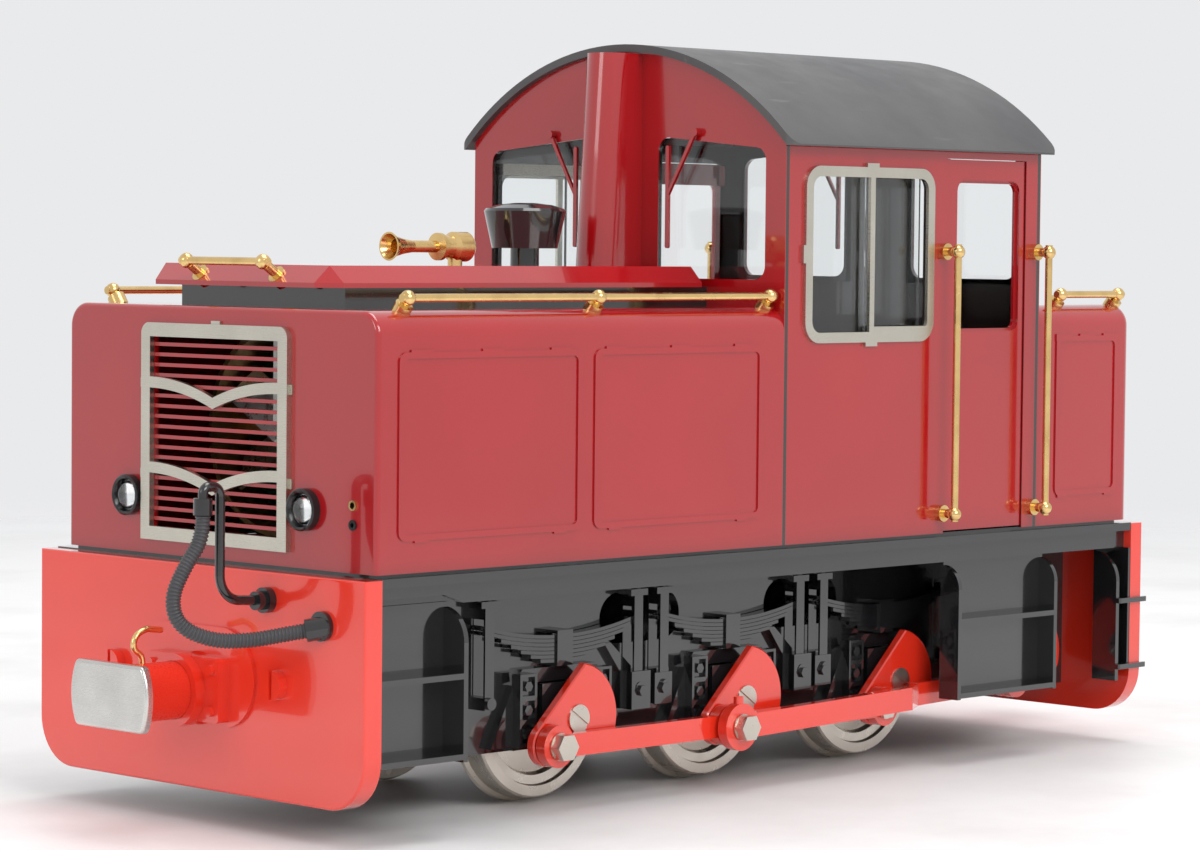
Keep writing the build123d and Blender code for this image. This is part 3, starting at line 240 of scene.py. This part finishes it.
def turned_steel(name, centre):
    """Machined steel with fine rings turned about the axle at centre."""
    colour = (0.66, 0.61, 0.54)
    shader = Shader(name, colour, 0.3, metallic=1.0)
    place = shader.place(offset=centre)
    x, z = shader.axis("X", place), shader.axis("Z", place)
    squares = shader.math("ADD", shader.math("MULTIPLY", x, x), shader.math("MULTIPLY", z, z))
    radius = shader.math("SQRT", squares)
    wobble = shader.math("MULTIPLY", shader.noise(0.0008, 2.0), 0.0003)
    rings = shader.math("SINE", shader.math("MULTIPLY", shader.math("ADD", radius, wobble), RING_WAVES))
    cloud = shader.noise(0.006, 4.0)
    shader.base(shader.mix(cloud, tint(colour, 0.80), tint(colour, 1.08)))
    shader.rough(shader.ramp(shader.noise(0.003, 3.0), 0.3, 0.7, 0.24, 0.40))
    shader.bump(rings, 0.000006, 0.6)
    return shader.material


def plain_metal(name, colour, roughness):
    shader = Shader(name, colour, roughness, metallic=1.0)
    shader.base(shader.mix(shader.noise(0.004, 4.0), tint(colour, 0.8), tint(colour, 1.1)))
    shader.rough(shader.ramp(shader.noise(0.002, 3.0), 0.3, 0.7, roughness * 0.8, roughness * 1.4))
    shader.bump(shader.noise(0.0005, 2.0), 0.00001, 0.5)
    return shader.material


def clear(name, roughness=0.0, ior=1.45):
    shader = Shader(name, (0.96, 0.98, 0.98), roughness, ior=ior)
    shader.set("Transmission Weight", 1.0)
    shader.rough(shader.ramp(shader.noise(0.01, 4.0), 0.4, 0.8, roughness, roughness + 0.04))
    return shader.material


def plain(name, colour, roughness, grain=0.0008, depth=0.00002, coat=0.0):
    shader = Shader(name, colour, roughness, coat=coat)
    shader.base(shader.mix(shader.noise(0.01, 4.0), tint(colour, 0.8), tint(colour, 1.25)))
    shader.rough(shader.ramp(shader.noise(0.004, 3.0), 0.3, 0.7, roughness * 0.8, roughness * 1.3))
    shader.bump(shader.noise(grain, 3.0), depth, 0.6)
    return shader.material


def buffer_metal(name):
    """Brushed plate at the end, vermilion shank behind it."""
    shader = Shader(name, (0.62, 0.61, 0.58), 0.32, metallic=1.0)
    plate = abs(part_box(name)[1][0])
    far = max(plate, abs(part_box(name)[0][0]))
    edge = far - BUFFER_PLATE
    is_plate = shader.math("GREATER_THAN", shader.math("ABSOLUTE", shader.axis("X")), edge)
    lines = shader.noise(0.0002, 4.0, shader.place(scale=(1.0, 30.0, 1.0)))
    steel = shader.mix(shader.noise(0.008, 3.0), (0.50, 0.49, 0.47), (0.70, 0.69, 0.66))
    shader.base(shader.mix(is_plate, VERMILION, steel))
    shader.links.new(is_plate, shader.bsdf.inputs["Metallic"])
    shader.rough(shader.ramp(lines, 0.3, 0.7, 0.20, 0.40))
    shader.bump(lines, 0.00001, 0.6)
    return shader.material


def bezel_material():
    """Black bezels, with the upper of the two small sockets ringed in brass."""
    shader = Shader("lamp_bezel_black", BEZEL_BLACK, 0.2)
    side = shader.math("GREATER_THAN", shader.axis("Y"), BRASS_SOCKET[0])
    high = shader.math("GREATER_THAN", shader.axis("Z"), BRASS_SOCKET[1])
    ring = shader.math("MULTIPLY", side, high)
    shader.base(shader.mix(ring, BEZEL_BLACK, BRASS))
    shader.links.new(ring, shader.bsdf.inputs["Metallic"])
    shader.rough(shader.ramp(shader.noise(0.002, 3.0), 0.3, 0.7, 0.15, 0.28))
    shader.bump(shader.noise(0.0005, 2.0), 0.00001, 0.4)
    return shader.material


def slot_materials():
    return {
        "body_red": paint("body_red_enamel", BODY_RED),
        "beam_red": paint("vermilion_enamel", VERMILION),
        "frame_black": paint("gloss_black_enamel", GLOSS_BLACK, 0.14),
        "roof_grey": satin_roof(),
        "cab_dark": paint("cab_brown", (0.030, 0.016, 0.012), 0.35, 0.0),
        "nickel_silver": brushed("nickel_silver_satin", (0.60, 0.57, 0.49), 0.30, "Y"),
        "steel": plain_metal("pin_steel", (0.60, 0.59, 0.56), 0.28),
        "brass_polished": polished_brass(),
        "bronze_dull": plain_metal("bronze_dull", (0.36, 0.22, 0.10), 0.40),
        "glazing": clear("window_clear"),
        "lens": clear("lamp_clear", 0.02),
        "plastic_black": plain("gloss_black_fitting", GLOSS_BLACK, 0.12, coat=0.6),
        "hose_rubber": plain("hose_rubber", (0.045, 0.045, 0.048), 0.45),
        "battery_wrap": plain("battery_wrap", (0.03, 0.07, 0.22), 0.4),
        "board_green": plain("board_green", (0.01, 0.08, 0.03), 0.5),
        "motor_can": plain_metal("motor_can", (0.5, 0.5, 0.5), 0.35),
    }


def give(node, material):
    for slot in NODES[node].material_slots:
        slot.material = material


def dress_nodes():
    """Every CAD node gets the material of its slot, then the special ones are changed."""
    by_slot = slot_materials()
    for node, slot in SLOT_OF.items():
        give(node, by_slot[slot])
    # the red cab walls get painted shade on their inner faces
    give("cab_sides", paint("cab_side_enamel_inner_shade", BODY_RED, painted_shade=cab_side_shade_mask))
    give("cab_ends", paint("cab_end_enamel_inner_shade", BODY_RED, painted_shade=cab_end_shade_mask))
    for number in (1, 2, 3):
        node = f"wheelset_{number}"
        x, _, z = JOINT_AT[f"{node}_spin"]
        give(node, turned_steel(f"{node}_steel", (x, 0.0, z)))
    for node in ("buffer_front", "buffer_rear"):
        give(node, buffer_metal(node))
    give("lamp_bezels", bezel_material())
    return by_slot


# ---- brake hose ---------------------------------------------------------------
# The route's corners in millimetres: down from the swan neck, then round to the plug.
HOSE_ROUTE = ((143.5, 22.9, 65.7), (143.5, 22.9, 61.0), (146.5, 21.4, 56.0), (149.7, 20.6, 49.4),
              (148.5, 21.6, 43.8), (143.1, 25.6, 40.9), (137.1, 30.4, 41.0), (132.7, 34.6, 42.2),
              (129.3, 37.6, 43.0))
HOSE_DIAMETER = 3.15 * MM
RIB_PITCH = 0.72 * MM
RIB_DEPTH = 0.28 * MM
POINTS_PER_RIB = 6
HOSE_SIDES = 20


def route_line(points, steps):
    """Points read from the route's own NURBS spline."""
    data = bpy.data.curves.new("route", "CURVE")
    data.dimensions = "3D"
    data.resolution_u = steps
    spline = data.splines.new("NURBS")
    spline.points.add(len(points) - 1)
    for point, place in zip(spline.points, points):
        point.co = (*[part * MM for part in place], 1.0)
    spline.order_u = 3
    spline.use_endpoint_u = True
    holder = bpy.data.objects.new("route", data)
    mesh = bpy.data.meshes.new_from_object(holder)
    line = [vertex.co.copy() for vertex in mesh.vertices]
    bpy.data.objects.remove(holder)
    bpy.data.meshes.remove(mesh)
    bpy.data.curves.remove(data)
    return line


def resample(line, step):
    """Points along the line, step apart, and the line's length."""
    spans = [(b - a).length for a, b in zip(line, line[1:])]
    total = sum(spans)
    count = max(2, round(total / step))
    out = []
    index, walked = 0, 0.0
    for number in range(count + 1):
        target = total * number / count
        while index < len(spans) - 1 and walked + spans[index] < target:
            walked += spans[index]
            index += 1
        part = (target - walked) / spans[index]
        out.append(line[index].lerp(line[index + 1], min(1.0, part)))
    return out, total


def tube_along(name, points, radius_at, sides, material):
    """A closed tube whose radius at point number i is radius_at(i)."""
    mesh = bmesh.new()
    rings = []
    normal = Vector((0, 1, 0))
    for i, point in enumerate(points):
        ahead = points[min(i + 1, len(points) - 1)]
        behind = points[max(i - 1, 0)]
        way = (ahead - behind).normalized()
        normal = (normal - way * normal.dot(way)).normalized()
        across = way.cross(normal)
        ring = []
        for side in range(sides):
            angle = 2 * math.pi * side / sides
            spoke = normal * math.cos(angle) + across * math.sin(angle)
            ring.append(mesh.verts.new(point + spoke * radius_at(i)))
        rings.append(ring)
    for low, high in zip(rings, rings[1:]):
        for side in range(sides):
            after = (side + 1) % sides
            mesh.faces.new((low[side], low[after], high[after], high[side]))
    mesh.faces.new(list(reversed(rings[0])))
    mesh.faces.new(rings[-1])
    bmesh.ops.recalc_face_normals(mesh, faces=mesh.faces)
    return finish_mesh(name, mesh, material)


def finish_mesh(name, mesh, material, smooth=True):
    data = bpy.data.meshes.new(name)
    mesh.to_mesh(data)
    mesh.free()
    data.materials.append(material)
    for polygon in data.polygons:
        polygon.use_smooth = smooth
    piece = bpy.data.objects.new(name, data)
    bpy.context.scene.collection.objects.link(piece)
    return piece


def brake_hose(material):
    """The ribbed brake hose, from the swan neck down and round to its plug on the beam."""
    points, length = resample(route_line(HOSE_ROUTE, 24), RIB_PITCH / POINTS_PER_RIB)
    root = HOSE_DIAMETER / 2 - RIB_DEPTH

    def radius_at(i):
        wave = 0.5 - 0.5 * math.cos(2 * math.pi * i / POINTS_PER_RIB)
        return root + RIB_DEPTH * wave ** 0.6

    piece = tube_along("brake_hose_ribbed", points, radius_at, HOSE_SIDES, material)
    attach(piece, "chassis")
    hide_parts("brake_hose")


# ---- stage --------------------------------------------------------------------
FLOOR_RADIUS = 1.0
FADE_FROM, FADE_TO = 0.35, 0.95     # the floor turns transparent between these distances
EYE = (0.61937, 0.60056, 0.12066)
FOCAL_LENGTH = 113.48
SENSOR_WIDTH = 36.0


def floor_material():
    """Pale table that fades into the background away from the model."""
    shader = Shader("pale_table", (0.80, 0.795, 0.79), 0.5)
    cloud = shader.ramp(shader.noise(0.08, 6.0, rough=0.6), 0.45, 0.75, 0.0, 1.0)
    shader.base(shader.mix(cloud, (0.83, 0.825, 0.82), (0.70, 0.69, 0.68)))
    x, y = shader.axis("X"), shader.axis("Y")
    squares = shader.math("ADD", shader.math("MULTIPLY", x, x), shader.math("MULTIPLY", y, y))
    fade = shader.ramp(shader.math("SQRT", squares), FADE_FROM, FADE_TO, 1.0, 0.0)
    shader.links.new(fade, shader.bsdf.inputs["Alpha"])
    return shader.material


def stage():
    mesh = bmesh.new()
    bmesh.ops.create_circle(mesh, cap_ends=True, segments=64, radius=FLOOR_RADIUS)
    floor = finish_mesh("floor", mesh, floor_material(), smooth=False)
    world = bpy.data.worlds.new("studio")
    bpy.context.scene.world = world
    world.use_nodes = True
    background = world.node_tree.nodes["Background"]
    background.inputs["Color"].default_value = (0.86, 0.865, 0.88, 1.0)
    background.inputs["Strength"].default_value = 0.95


def area_light(name, place, target, size, power, colour=(1.0, 1.0, 1.0)):
    data = bpy.data.lights.new(name, "AREA")
    data.shape = "RECTANGLE"
    data.size, data.size_y = size
    data.energy = power
    data.color = colour
    light = bpy.data.objects.new(name, data)
    bpy.context.scene.collection.objects.link(light)
    light.location = place
    light.rotation_euler = (Vector(target) - Vector(place)).to_track_quat("-Z", "Y").to_euler()


def lights():
    area_light("key_left", (0.25, 1.1, 0.75), (0, 0, 0.08), (0.7, 0.5), 7.0)
    area_light("top", (-0.1, 0.05, 1.1), (0, 0, 0.1), (0.9, 0.5), 6.0)
    area_light("front", (1.2, -0.1, 0.5), (0, 0, 0.09), (0.4, 0.4), 1.6)


def camera():
    """The camera's axes are its right, its up and its back directions."""
    right = Vector((-0.70153, 0.71257, 0.00988))
    up = Vector((-0.02788, -0.04129, 0.99876))
    back = right.cross(up)
    data = bpy.data.cameras.new("camera")
    data.sensor_width = SENSOR_WIDTH
    data.lens = FOCAL_LENGTH
    data.clip_start = 0.01
    eye = bpy.data.objects.new("camera", data)
    bpy.context.scene.collection.objects.link(eye)
    turn = Matrix((right, up, back)).transposed().to_4x4()
    eye.matrix_world = Matrix.Translation(EYE) @ turn
    bpy.context.scene.camera = eye


MATERIALS = dress_nodes()
brake_hose(MATERIALS["hose_rubber"])
stage()
lights()
camera()
bpy.context.scene.view_settings.view_transform = "Standard"
